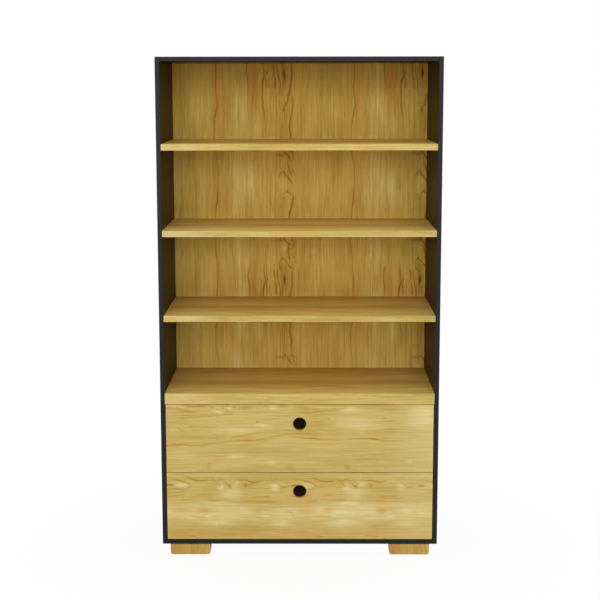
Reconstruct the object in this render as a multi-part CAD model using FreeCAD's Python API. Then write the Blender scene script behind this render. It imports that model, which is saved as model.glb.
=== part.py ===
"""Tall bookcase: a dark case on four block feet, open shelves above and two roller-mounted drawers below.

Millimetres. The origin is on the floor, under the middle of the case: +X to the viewer's right,
+Y to the back, +Z up. The case is symmetric about X = 0, so the right half is modelled and mirrored.
"""

import FreeCAD, Part
import math
import os

Vector = FreeCAD.Vector

# ---- Case -----------------------------------------------------------------------------------------
overall_width = 1000.0
overall_depth = 460.0
overall_height = 1796.0
panel_thickness = 16.0
edge_easing = 0.8

back_thickness = 4.0
back_lap = 8.0
back_clearance = 0.5

# ---- Shelves and the board over the drawers -------------------------------------------------------
shelf_names = ("lower_shelf", "middle_shelf", "upper_shelf")
fixed_shelves = ("middle_shelf",)
shelf_thickness = 22.0
shelf_lowering = 3.0
drawer_board_thickness = 40.0
shelf_setback = 1.0
shelf_end_clearance = 0.5
shelf_back_clearance = 0.5

# ---- Feet -----------------------------------------------------------------------------------------
foot_length = 145.0
foot_depth = 60.0
foot_height = 42.0
foot_side_inset = 28.0
foot_setback = 6.0
foot_corner_radius = 9.0
tenon_length = 110.0
tenon_depth = 30.0
tenon_height = 10.0
pad_edge_margin = 12.0
pad_thickness = 2.0

# ---- Drawers --------------------------------------------------------------------------------------
drawer_names = ("lower", "upper")
front_height = 249.5
front_thickness = 18.0
front_gap = 2.0
finger_hole_radius = 24.0
finger_hole_drop = 70.0
finger_hole_easing = 1.0

drawer_side_thickness = 16.0
drawer_side_easing = 1.2
side_above_front_bottom = 14.0
side_below_front_top = 35.5
drawer_bottom_thickness = 4.0
drawer_bottom_rise = 12.0
drawer_bearer_width = 40.0
groove_depth = 7.0
housing_depth = 6.0
glue_clearance = 0.1

dovetail_depth = 8.0
dovetail_neck = 7.0
dovetail_width = 9.5

# ---- Roller runners -------------------------------------------------------------------------------
runner_step = 50.0
runner_setback = 2.0
runner_end_room = 12.0
runner_gap = 13.0
sheet = 1.2
bend_radius = 1.6
track_headroom = 2.0
track_lip = 3.0
track_lip_clearance = 0.4
track_roof = 8.0
drawer_flange_clearance = 0.4
drawer_flange_end_room = 1.3
drawer_ledge = 12.0
drawer_runner_shortening = 3.0

roller_radius = 11.0
roller_clearance = 0.3
front_roller_place = 16.0
notch_room = 3.0
axle_radius = 2.5
axle_clearance = 0.05
axle_head_radius = 4.0
axle_head_thickness = 0.5
axle_head_room = 1.7

extension_loss = 100.0
stop_clearance = 0.5
stop_height = 4.0
stop_length = 6.0
end_tab_rise = 2.7

# ---- Joints of the case ---------------------------------------------------------------------------
spline_thickness = 4.0
spline_width = 20.0
spline_end_stop = 40.0
spline_room = 0.5

pin_radius = 2.5
pin_depth = 8.0
pin_end_room = 0.5
pin_clearance = 0.05
pin_plate = 2.0
pin_plate_height = 10.0
pin_reach = 8.0
pin_width = 8.0
pin_inset = 60.0

# ---- Modelling allowances -------------------------------------------------------------------------
cutter_overrun = 1.0
same_place = 0.01

# ---- Places worked out from the sizes above -------------------------------------------------------
half_width = overall_width / 2
case_front = -overall_depth / 2
case_rear = overall_depth / 2
case_bottom = pad_thickness + foot_height
inner_half = half_width - panel_thickness
inner_floor = case_bottom + panel_thickness
inner_ceiling = overall_height - panel_thickness
back_front_face = case_rear - back_thickness

front_pitch = front_height + front_gap
board_underside = inner_floor + front_gap + len(drawer_names) * front_pitch
board_top = board_underside + drawer_board_thickness
storey = (inner_ceiling - board_underside) / (len(shelf_names) + 1)
shelf_front = case_front + shelf_setback
shelf_rear = back_front_face - shelf_back_clearance

front_inner_face = case_front + front_thickness
runner_front = front_inner_face + runner_setback
runner_length = runner_step * math.floor((back_front_face - runner_end_room - runner_front) / runner_step)
drawer_runner_length = runner_length - drawer_runner_shortening
drawer_half = inner_half - runner_gap
drawer_inner_half = drawer_half - drawer_side_thickness
drawer_side_rear = runner_front + drawer_runner_length
side_height = front_height - side_above_front_bottom - side_below_front_top

drawer_travel = runner_length - extension_loss
rear_roller_place = runner_length - sheet - stop_clearance - roller_radius
track_height = 2 * roller_radius + track_headroom
flange_height = track_height + sheet + drawer_flange_clearance
front_roller_height = flange_height - roller_clearance - roller_radius
rear_roller_height = roller_radius + roller_clearance
end_tab_height = rear_roller_height + end_tab_rise

# Across the gap between a side panel and a drawer, as distances from the side panel.
drawer_web_face = runner_gap - sheet
track_depth = drawer_web_face - track_lip_clearance - sheet
roller_near_face = sheet + roller_clearance + axle_head_thickness + roller_clearance
roller_far_face = drawer_web_face - axle_head_room - axle_head_thickness - roller_clearance
drawer_flange_end = sheet + drawer_flange_end_room


# ---- Shapes ---------------------------------------------------------------------------------------
def box(x0, x1, y0, y1, z0, z1):
    """A block between two corners."""
    return Part.makeBox(x1 - x0, y1 - y0, z1 - z0, Vector(x0, y0, z0))


def rod(start, direction, radius, length):
    """A cylinder from a point along a direction."""
    return Part.makeCylinder(radius, length, start, direction)


def mirrored(shape):
    """The same piece on the other side of the case."""
    return shape.mirror(Vector(0, 0, 0), Vector(1, 0, 0))


def eased(solid, size, wanted):
    """The solid with a small chamfer on each edge for whose middle wanted(x, y, z) is true."""
    edges = []
    for edge in solid.Edges:
        middle = edge.CenterOfMass
        if wanted(middle.x, middle.y, middle.z):
            edges.append(edge)
    return solid.makeChamfer(size, edges)


def eased_front(board, front):
    """A board that is centred on the case, with its two long front edges eased."""
    return eased(board, edge_easing, lambda x, y, z: abs(y - front) < same_place and abs(x) < same_place)


def outline(corners, place):
    """A closed wire through corners (u, v, radius), rounded by arcs; place turns u, v into a point."""
    points = [place(u, v) for u, v, _ in corners]
    corner_arcs = []
    for index, (_, _, radius) in enumerate(corners):
        here = points[index]
        before = (points[index - 1] - here).normalize()
        after = (points[(index + 1) % len(points)] - here).normalize()
        half_angle = before.getAngle(after) / 2
        inward = (before + after).normalize()
        reach = radius / math.tan(half_angle)
        middle = here + inward * (radius / math.sin(half_angle) - radius)
        corner_arcs.append((here + before * reach, middle, here + after * reach, radius))
    edges = []
    for index, (start, middle, end, radius) in enumerate(corner_arcs):
        if radius > 0:
            edges.append(Part.Arc(start, middle, end).toShape())
        next_start = corner_arcs[(index + 1) % len(corner_arcs)][0]
        edges.append(Part.LineSegment(end, next_start).toShape())
    return Part.Wire(edges)


def direction_of(start, end):
    """The unit direction from one (u, v) pair to another."""
    length = math.dist(start, end)
    return (end[0] - start[0]) / length, (end[1] - start[1]) / length


def folded_section(path, thickness, radius):
    """Corners (u, v, radius) of a folded sheet's section: path is one face, the other lies to its left.

    Each bend is rounded on its outside and left sharp on its inside.
    """
    runs = [direction_of(start, end) for start, end in zip(path, path[1:])]
    near = []
    far = []
    for (u, v), arriving, leaving in zip(path, runs[:1] + runs, runs + runs[-1:]):
        turn = arriving[0] * leaving[1] - arriving[1] * leaving[0]
        share = thickness / (1 + arriving[0] * leaving[0] + arriving[1] * leaving[1])
        near.append((u, v, radius if turn > 0 else 0))
        far_u = u - (arriving[1] + leaving[1]) * share
        far_v = v + (arriving[0] + leaving[0]) * share
        far.append((far_u, far_v, radius if turn < 0 else 0))
    return near + far[::-1]


# ---- The joints on the right half -----------------------------------------------------------------
def shelf_underside(level):
    """Height of the underside of a shelf, a little under the equal storeys from the drawer board up."""
    return board_underside + (level + 1) * storey - shelf_lowering


def shelf_middle(level):
    return shelf_underside(level) + shelf_thickness / 2


def is_fixed(level):
    """True for a shelf that is glued between the sides and ties them together; the others lie on pins."""
    return shelf_names[level] in fixed_shelves


def spline_heights():
    """Mid-height of each fixed board, which is joined to the side panels by a loose spline."""
    boards = ((case_bottom, inner_floor), (board_underside, board_top), (inner_ceiling, overall_height))
    heights = [(low + high) / 2 for low, high in boards]
    heights += [shelf_middle(level) for level in range(len(shelf_names)) if is_fixed(level)]
    return heights


def spline(height, clearance=0.0, room=0.0):
    """The plywood spline at the right end of a fixed board, or with clearances the grooves for it."""
    half_width_of_strip = spline_width / 2 + room
    half_thickness = spline_thickness / 2 + clearance
    return box(
        inner_half - half_width_of_strip,
        inner_half + half_width_of_strip,
        case_front + spline_end_stop - room,
        back_front_face - spline_end_stop + room,
        height - half_thickness,
        height + half_thickness,
    )


def spline_groove(height):
    return spline(height, glue_clearance, spline_room)


def pin_places():
    """(y, z) of the seat of each shelf pin on the right side panel."""
    places = []
    for level in range(len(shelf_names)):
        if not is_fixed(level):
            places.append((shelf_front + pin_inset, shelf_underside(level)))
            places.append((shelf_rear - pin_inset, shelf_underside(level)))
    return places


def shelf_pin(y, z):
    """A bent tab under the shelf with a round spigot in the side panel."""
    section = [
        (inner_half, z, 0),
        (inner_half - pin_reach, z, 0),
        (inner_half - pin_reach, z - pin_plate, 0),
        (inner_half - pin_plate, z - pin_plate, 0),
        (inner_half - pin_plate, z - pin_plate_height, 0),
        (inner_half, z - pin_plate_height, 0),
    ]
    wire = outline(section, lambda u, v: Vector(u, y - pin_width / 2, v))
    tab = Part.Face(wire).extrude(Vector(0, pin_width, 0))
    spigot_start = Vector(inner_half - pin_plate / 2, y, z - pin_plate_height / 2)
    spigot = rod(spigot_start, Vector(1, 0, 0), pin_radius, pin_depth + pin_plate / 2)
    return tab.fuse(spigot).removeSplitter()


def pin_hole(y, z):
    start = Vector(inner_half, y, z - pin_plate_height / 2)
    return rod(start, Vector(1, 0, 0), pin_radius + pin_clearance, pin_depth + pin_end_room)


def drawer_base(index):
    """Height of the lower edge of a drawer's sides, which is also its runners' datum."""
    return inner_floor + front_gap + index * front_pitch + side_above_front_bottom


def foot_corners():
    """(x, y) of the outer front corner of each right-hand foot's block, front foot first."""
    x0 = half_width - foot_side_inset - foot_length
    return [(x0, case_front + foot_setback), (x0, case_rear - foot_setback - foot_depth)]


def foot_tenon(corner, clearance=0.0):
    """The stub tenon on top of a right-hand foot, or with a clearance its mortise in the bottom panel."""
    middle_x = corner[0] + foot_length / 2
    middle_y = corner[1] + foot_depth / 2
    half_length = tenon_length / 2 + clearance
    half_depth = tenon_depth / 2 + clearance
    return box(
        middle_x - half_length,
        middle_x + half_length,
        middle_y - half_depth,
        middle_y + half_depth,
        case_bottom,
        case_bottom + tenon_height + clearance,
    )


# ---- The case -------------------------------------------------------------------------------------
def right_side_panel():
    panel = box(inner_half, half_width, case_front, case_rear, case_bottom, overall_height)
    at_front = case_front + same_place
    at_outside = half_width - same_place
    panel = eased(panel, edge_easing, lambda x, y, z: y < at_front or x > at_outside)
    rebate = box(
        inner_half - cutter_overrun,
        inner_half + back_lap,
        back_front_face,
        case_rear + cutter_overrun,
        inner_floor - back_lap,
        inner_ceiling + back_lap,
    )
    cuts = [rebate]
    cuts += [spline_groove(height) for height in spline_heights()]
    cuts += [pin_hole(y, z) for y, z in pin_places()]
    return panel.cut(cuts)


def end_board(z0, z1, inner_z):
    """The top or bottom panel: between the sides, with a rebate for the back along its inner face."""
    board = eased_front(box(-inner_half, inner_half, case_front, case_rear, z0, z1), case_front)
    far_side = inner_z + (back_lap if inner_z == z0 else -back_lap)
    low = min(inner_z, far_side)
    high = max(inner_z, far_side)
    rebate = box(-half_width, half_width, back_front_face, case_rear + cutter_overrun, low, high)
    return board.cut([rebate] + both_sides([spline_groove((z0 + z1) / 2)]))


def bottom_panel():
    mortises = [foot_tenon(corner, glue_clearance) for corner in foot_corners()]
    return end_board(case_bottom, inner_floor, inner_floor).cut(both_sides(mortises))


def back_panel():
    reach = back_lap - back_clearance
    return box(
        -inner_half - reach,
        inner_half + reach,
        back_front_face,
        case_rear,
        inner_floor - reach,
        inner_ceiling + reach,
    )


def drawer_top_board():
    board = box(-inner_half, inner_half, shelf_front, shelf_rear, board_underside, board_top)
    board = eased_front(board, shelf_front)
    return board.cut(both_sides([spline_groove((board_underside + board_top) / 2)]))


def shelf(level):
    half = inner_half if is_fixed(level) else inner_half - shelf_end_clearance
    low = shelf_underside(level)
    board = eased_front(box(-half, half, shelf_front, shelf_rear, low, low + shelf_thickness), shelf_front)
    if is_fixed(level):
        board = board.cut(both_sides([spline_groove(shelf_middle(level))]))
    return board


def right_foot(corner):
    """A block with its two lower end corners rounded and a stub tenon on top, standing on a pad."""
    x0, y0 = corner
    x1 = x0 + foot_length
    section = [
        (x0, pad_thickness, foot_corner_radius),
        (x1, pad_thickness, foot_corner_radius),
        (x1, case_bottom, 0),
        (x0, case_bottom, 0),
    ]
    wire = outline(section, lambda u, v: Vector(u, y0, v))
    block = Part.Face(wire).extrude(Vector(0, foot_depth, 0))
    return block.fuse(foot_tenon(corner)).removeSplitter()


def foot_pad(corner):
    """A flat pad under a right-hand foot."""
    x0, y0 = corner
    return box(
        x0 + pad_edge_margin,
        x0 + foot_length - pad_edge_margin,
        y0 + pad_edge_margin,
        y0 + foot_depth - pad_edge_margin,
        0,
        pad_thickness,
    )


# ---- The drawers ----------------------------------------------------------------------------------
def drawer_front(index):
    low = inner_floor + front_gap + index * front_pitch
    half = inner_half - front_gap
    board = box(-half, half, case_front, front_inner_face, low, low + front_height)
    at_front = case_front + same_place
    board = eased(board, edge_easing, lambda x, y, z: y < at_front)
    hole_centre = Vector(0, case_front, low + front_height - finger_hole_drop)
    board = board.cut(rod(hole_centre, Vector(0, 1, 0), finger_hole_radius, front_thickness))
    rim = [edge for edge in board.Edges if edge.isClosed() and edge.CenterOfMass.y < at_front]
    board = board.makeChamfer(finger_hole_easing, rim)
    joints = [dovetail(index, low - cutter_overrun, glue_clearance)]
    joints.append(mirrored(joints[0]))
    joints.append(bottom_groove(index))
    return board.cut(joints)


def dovetail(index, low, clearance=0.0):
    """The tongue on the front end of the right-hand drawer side, or with a clearance its groove."""
    middle = drawer_half - drawer_side_thickness / 2
    neck = dovetail_neck / 2 + clearance
    wide = dovetail_width / 2 + clearance
    depth = dovetail_depth + clearance
    high = drawer_base(index) + side_height + clearance
    corners = [
        Vector(middle - neck, front_inner_face, low),
        Vector(middle - wide, front_inner_face - depth, low),
        Vector(middle + wide, front_inner_face - depth, low),
        Vector(middle + neck, front_inner_face, low),
    ]
    return Part.Face(Part.makePolygon(corners + corners[:1])).extrude(Vector(0, 0, high - low))


def bottom_groove(index):
    """The groove that runs round the front and the sides for the drawer bottom."""
    low = drawer_base(index) + drawer_bottom_rise
    half = drawer_inner_half + groove_depth
    high = low + drawer_bottom_thickness + glue_clearance
    return box(-half, half, front_inner_face - groove_depth, drawer_side_rear + cutter_overrun, low, high)


def drawer_back_rear_face():
    return drawer_side_rear - drawer_side_thickness / 2


def right_drawer_side(index):
    low = drawer_base(index)
    board = box(drawer_inner_half, drawer_half, front_inner_face, drawer_side_rear, low, low + side_height)
    middle = (front_inner_face + drawer_side_rear) / 2
    board = eased(board, drawer_side_easing, lambda x, y, z: abs(y - middle) < same_place)
    board = board.fuse(dovetail(index, low)).removeSplitter()
    back_housing = box(
        drawer_inner_half - cutter_overrun,
        drawer_inner_half + housing_depth,
        drawer_back_rear_face() - drawer_side_thickness - glue_clearance,
        drawer_back_rear_face() + glue_clearance,
        low + drawer_bottom_rise,
        low + side_height + cutter_overrun,
    )
    return board.cut([back_housing, bottom_groove(index)])


def drawer_back(index):
    half = drawer_inner_half + housing_depth - glue_clearance
    low = drawer_base(index) + drawer_bottom_rise + drawer_bottom_thickness
    high = drawer_base(index) + side_height
    rear = drawer_back_rear_face()
    return box(-half, half, rear - drawer_side_thickness, rear, low, high)


def drawer_bottom(index):
    half = drawer_inner_half + groove_depth - glue_clearance
    low = drawer_base(index) + drawer_bottom_rise
    front = front_inner_face - groove_depth + glue_clearance
    return box(-half, half, front, drawer_back_rear_face(), low, low + drawer_bottom_thickness)


def drawer_bearer(index):
    """A batten under the middle of the wide drawer bottom, flush with the lower edges of the sides."""
    low = drawer_base(index)
    half = drawer_bearer_width / 2
    return box(-half, half, front_inner_face, drawer_back_rear_face(), low, low + drawer_bottom_rise)


# ---- The roller runners ---------------------------------------------------------------------------
def runner_bar(index, path, length):
    """A folded right-hand runner; path is (distance from the case side, height over the datum) pairs."""
    base = drawer_base(index)
    section = folded_section(path, sheet, bend_radius)
    wire = outline(section, lambda u, v: Vector(inner_half - u, runner_front, base + v))
    return Part.Face(wire).extrude(Vector(0, length, 0))


def axle(index, along, height, root, head_inner_face):
    """A stub axle of a right-hand roller, from its sheet to the inner face of its riveted head.

    Both ends are distances from the case side.
    """
    y = runner_front + along
    z = drawer_base(index) + height
    outward = Vector(1 if head_inner_face < root else -1, 0, 0)
    length = abs(head_inner_face - root)
    shank = rod(Vector(inner_half - root, y, z), outward, axle_radius, length)
    head = rod(Vector(inner_half - head_inner_face, y, z), outward, axle_head_radius, axle_head_thickness)
    return shank.fuse(head)


def right_case_runner(index):
    """The channel on the side panel: track, roof, end tab, stop and the front roller's axle."""
    path = [
        (track_depth, track_lip),
        (track_depth, 0),
        (sheet, 0),
        (sheet, track_height),
        (track_roof, track_height),
    ]
    base = drawer_base(index)
    bar = runner_bar(index, path, runner_length)
    notch = box(
        inner_half - runner_gap,
        inner_half,
        runner_front - cutter_overrun,
        runner_front + front_roller_place + roller_radius + notch_room,
        base + track_height + sheet - bend_radius,
        base + flange_height,
    )
    end_tab = box(
        inner_half - track_depth - sheet / 2,
        inner_half - sheet / 2,
        runner_front + runner_length - sheet,
        runner_front + runner_length,
        base - sheet / 2,
        base + end_tab_height,
    )
    stub = axle(index, front_roller_place, front_roller_height, sheet / 2, roller_far_face + roller_clearance)
    return bar.cut(notch).fuse([end_tab, stop_lug(index), stub]).removeSplitter()


def stop_lug(index):
    """A raised lug across the track, which the rear roller meets when the drawer is fully out."""
    base = drawer_base(index)
    rise = rear_roller_height - stop_height
    contact = rear_roller_place - drawer_travel - math.sqrt(roller_radius**2 - rise**2) - stop_clearance
    section = [
        (contact - stop_length, -sheet / 2, 0),
        (contact - stop_length / 2, stop_height, 0),
        (contact, stop_height, 0),
        (contact, -sheet / 2, 0),
    ]
    x = inner_half - track_depth - sheet / 2
    wire = outline(section, lambda u, v: Vector(x, runner_front + u, base + v))
    return Part.Face(wire).extrude(Vector(track_depth, 0, 0))


def right_drawer_runner(index):
    """The angle on the drawer side: a flange that rolls on the front roller, a web and a ledge."""
    path = [
        (drawer_flange_end, flange_height),
        (drawer_web_face, flange_height),
        (drawer_web_face, -sheet),
        (runner_gap + drawer_ledge, -sheet),
    ]
    root = runner_gap - sheet / 2
    stub = axle(index, rear_roller_place, rear_roller_height, root, roller_near_face - roller_clearance)
    return runner_bar(index, path, drawer_runner_length).fuse(stub).removeSplitter()


def right_roller(index, along, height):
    """A plain roller with a bore that runs on its stub axle."""
    centre = Vector(inner_half - roller_near_face, runner_front + along, drawer_base(index) + height)
    towards_drawer = Vector(-1, 0, 0)
    width = roller_far_face - roller_near_face
    tyre = rod(centre, towards_drawer, roller_radius, width)
    return tyre.cut(rod(centre, towards_drawer, axle_radius + axle_clearance, width))


# ---- Writing the pieces ---------------------------------------------------------------------------
def save(name, *solids):
    shape = solids[0] if len(solids) == 1 else Part.makeCompound(list(solids))
    shape.exportStep("parts/" + name + ".step")


def save_pair(pattern, solid):
    """Writes a right-hand piece and its mirror image; pattern holds {} where the side's name goes."""
    save(pattern.format("right"), solid)
    save(pattern.format("left"), mirrored(solid))


def both_sides(solids):
    return solids + [mirrored(solid) for solid in solids]


def save_case():
    save_pair("{}_side_panel", right_side_panel())
    save("bottom_panel", bottom_panel())
    save("top_panel", end_board(inner_ceiling, overall_height, inner_ceiling))
    save("back_panel", back_panel())
    save("drawer_top_board", drawer_top_board())
    for level, name in enumerate(shelf_names):
        save(name, shelf(level))
    save("board_splines", *both_sides([spline(height) for height in spline_heights()]))
    save("shelf_pins", *both_sides([shelf_pin(y, z) for y, z in pin_places()]))


def save_feet():
    pads = []
    for row, corner in zip(("front", "rear"), foot_corners()):
        save_pair(row + "_{}_foot", right_foot(corner))
        pads.append(foot_pad(corner))
    save("foot_pads", *both_sides(pads))


def save_drawer(index, name):
    save(name + "_drawer_front", drawer_front(index))
    save_pair(name + "_drawer_{}_side", right_drawer_side(index))
    save(name + "_drawer_back", drawer_back(index))
    save(name + "_drawer_bottom", drawer_bottom(index))
    save(name + "_drawer_bearer", drawer_bearer(index))
    save_pair(name + "_{}_drawer_runner", right_drawer_runner(index))
    save_pair(name + "_{}_case_runner", right_case_runner(index))
    save_pair(name + "_{}_front_roller", right_roller(index, front_roller_place, front_roller_height))
    save_pair(name + "_{}_rear_roller", right_roller(index, rear_roller_place, rear_roller_height))


os.makedirs("parts", exist_ok=True)
save_case()
save_feet()
for index, name in enumerate(drawer_names):
    save_drawer(index, name)
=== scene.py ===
import math

import bpy
from mathutils import Matrix, Vector


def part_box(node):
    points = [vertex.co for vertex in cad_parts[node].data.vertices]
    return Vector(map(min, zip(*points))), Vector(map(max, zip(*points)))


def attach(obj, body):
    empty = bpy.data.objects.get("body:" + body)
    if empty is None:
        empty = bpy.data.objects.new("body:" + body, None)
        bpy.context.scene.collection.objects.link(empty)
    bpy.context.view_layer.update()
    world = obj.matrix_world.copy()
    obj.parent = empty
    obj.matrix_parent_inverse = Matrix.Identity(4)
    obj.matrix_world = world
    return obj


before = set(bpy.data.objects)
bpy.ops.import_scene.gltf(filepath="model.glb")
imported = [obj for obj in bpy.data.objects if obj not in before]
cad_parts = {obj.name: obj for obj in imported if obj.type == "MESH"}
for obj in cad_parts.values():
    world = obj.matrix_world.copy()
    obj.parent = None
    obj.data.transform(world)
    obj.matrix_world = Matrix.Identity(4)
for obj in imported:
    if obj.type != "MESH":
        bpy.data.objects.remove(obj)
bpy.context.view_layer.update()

# Metres. The origin is on the floor, under the middle of the case: +X to the right seen from the front,
# +Y towards the back, +Z up. The case, shelves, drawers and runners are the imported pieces. This script gives
# them their finishes, and adds the screws of the runners and the pins of the back sheet.


# ---- Places on the bookcase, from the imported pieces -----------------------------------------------
def middle_height(node):
    lowest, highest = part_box(node)
    return (lowest.z + highest.z) / 2


SIDE_INNER_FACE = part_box("right_side_panel")[0].x
CASE_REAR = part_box("right_side_panel")[1].y
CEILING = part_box("top_panel")[0].z
INNER_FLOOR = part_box("bottom_panel")[1].z
BACK_LOWEST, BACK_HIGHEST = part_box("back_panel")
BACK_FACE = BACK_LOWEST.y
SHELF_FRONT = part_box("drawer_top_board")[0].y
DRAWER_BOARD_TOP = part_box("drawer_top_board")[1].z
FIGURE_TOP = DRAWER_BOARD_TOP + 0.002
DRAWER_SIDE_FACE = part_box("lower_drawer_right_side")[1].x
DRAWER_DATUMS = {drawer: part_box(drawer + "_drawer_right_side")[0].z for drawer in ("lower", "upper")}
RUNNER_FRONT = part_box("lower_right_case_runner")[0].y
RUNNER_STEEL = 0.0012

# Heads are (radius, height, rounding of the rim, depth of the cross cut), and the cut's length and width are
# shares of the radius.
CASE_SCREW_HEAD = (0.0034, 0.00125, 0.0001, 0.0003)
DRAWER_SCREW_HEAD = (0.0032, 0.0009, 0.0004, 0.0005)
PIN_HEAD = (0.0022, 0.001, 0.00002, 0.0)
CROSS_LENGTH = 1.15
CROSS_WIDTH = 0.26
HEAD_SIDES = 28
RIM_STEPS = 3
SMOOTH_ANGLE = 0.6

# The screws through the webs of the runners: how far each web lies from the middle of the case, and the
# screws' places from the bottom of the drawer's side and from the front end of the runner.
CASE_WEB_FACE = SIDE_INNER_FACE - RUNNER_STEEL
CASE_SCREW_SUNK = 0.001
DRAWER_WEB_FACE = DRAWER_SIDE_FACE + RUNNER_STEEL
SCREW_HEIGHT = 0.013
CASE_SCREW_PLACES = (RUNNER_FRONT + 0.050, RUNNER_FRONT + 0.320)
DRAWER_SCREW_PLACES = (RUNNER_FRONT + 0.060, RUNNER_FRONT + 0.330)

# The pins that hold the back sheet: up both sides, and along the boards behind it.
PIN_FROM_SIDE = 0.0038
PIN_FROM_END = 0.004
PIN_COLUMN = BACK_HIGHEST.x - PIN_FROM_SIDE
PIN_COLUMN_HEIGHTS = [0.120 + 0.200 * step for step in range(9)]
PIN_ROW_HEIGHTS = [
    BACK_LOWEST.z + PIN_FROM_END,
    middle_height("drawer_top_board"),
    middle_height("middle_shelf"),
    BACK_HIGHEST.z - PIN_FROM_END,
]
PIN_ROW_PLACES = [-0.400, -0.200, 0.0, 0.200, 0.400]
PIN_PROUD = 0.00005

# ---- Viewpoint ------------------------------------------------------------------------------------
# The place of the eye, and how far its view turns right, down and about itself, in radians.
EYE = Vector((0.03188, -5.00936, 1.70029))
YAW = -0.00626958
PITCH = 0.15667318
ROLL = -0.00122406
LENS_MM = 81.83463
SENSOR_MM = 36.0

# ---- Light ----------------------------------------------------------------------------------------
# How strongly the world lights the object. To the camera, a mirror or a glass the world is plain white.
AMBIENT = 0.45
SOFTBOX_SIZE = 3.0
# (name, place, watts)
SOFTBOXES = [
    ("high_front_softbox", (-0.2, -4.2, 3.0), 80.0),
    ("level_front_softbox", (-0.1, -5.2, 1.9), 74.0),
    ("rear_left_softbox", (-3.6, 3.4, 2.8), 60.0),
    ("rear_right_softbox", (3.6, 3.4, 2.8), 60.0),
]
SOFTBOX_TARGET = (0.0, 0.0, 0.9)
WHITE = (1, 1, 1, 1)
FLOOR_SIZE = 60.0
FLOOR_GREY = 0.8
# To the camera this share of the floor is plain white, and all of it past the stretch from start to end.
FLOOR_GLOW = 0.95
FLOOR_GLOW_START = 0.5
FLOOR_GLOW_END = 1.3


# ---- Shader sums ----------------------------------------------------------------------------------
class Wire:
    """The output of a shader node. An expression on wires and numbers adds the Math nodes for it."""

    def __init__(self, finish, socket):
        self.finish = finish
        self.socket = socket

    def __add__(self, other):
        return self.finish.sum("ADD", self, other)

    def __radd__(self, other):
        return self.finish.sum("ADD", other, self)

    def __sub__(self, other):
        return self.finish.sum("SUBTRACT", self, other)

    def __rsub__(self, other):
        return self.finish.sum("SUBTRACT", other, self)

    def __mul__(self, other):
        return self.finish.sum("MULTIPLY", self, other)

    def __truediv__(self, other):
        return self.finish.sum("DIVIDE", self, other)

    def __pow__(self, other):
        return self.finish.sum("POWER", self, other)


# The sockets of a Mix node that take and give colours.
MIX_SHARE, MIX_FIRST, MIX_SECOND = 0, 6, 7
MIX_RESULT = 2


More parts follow.
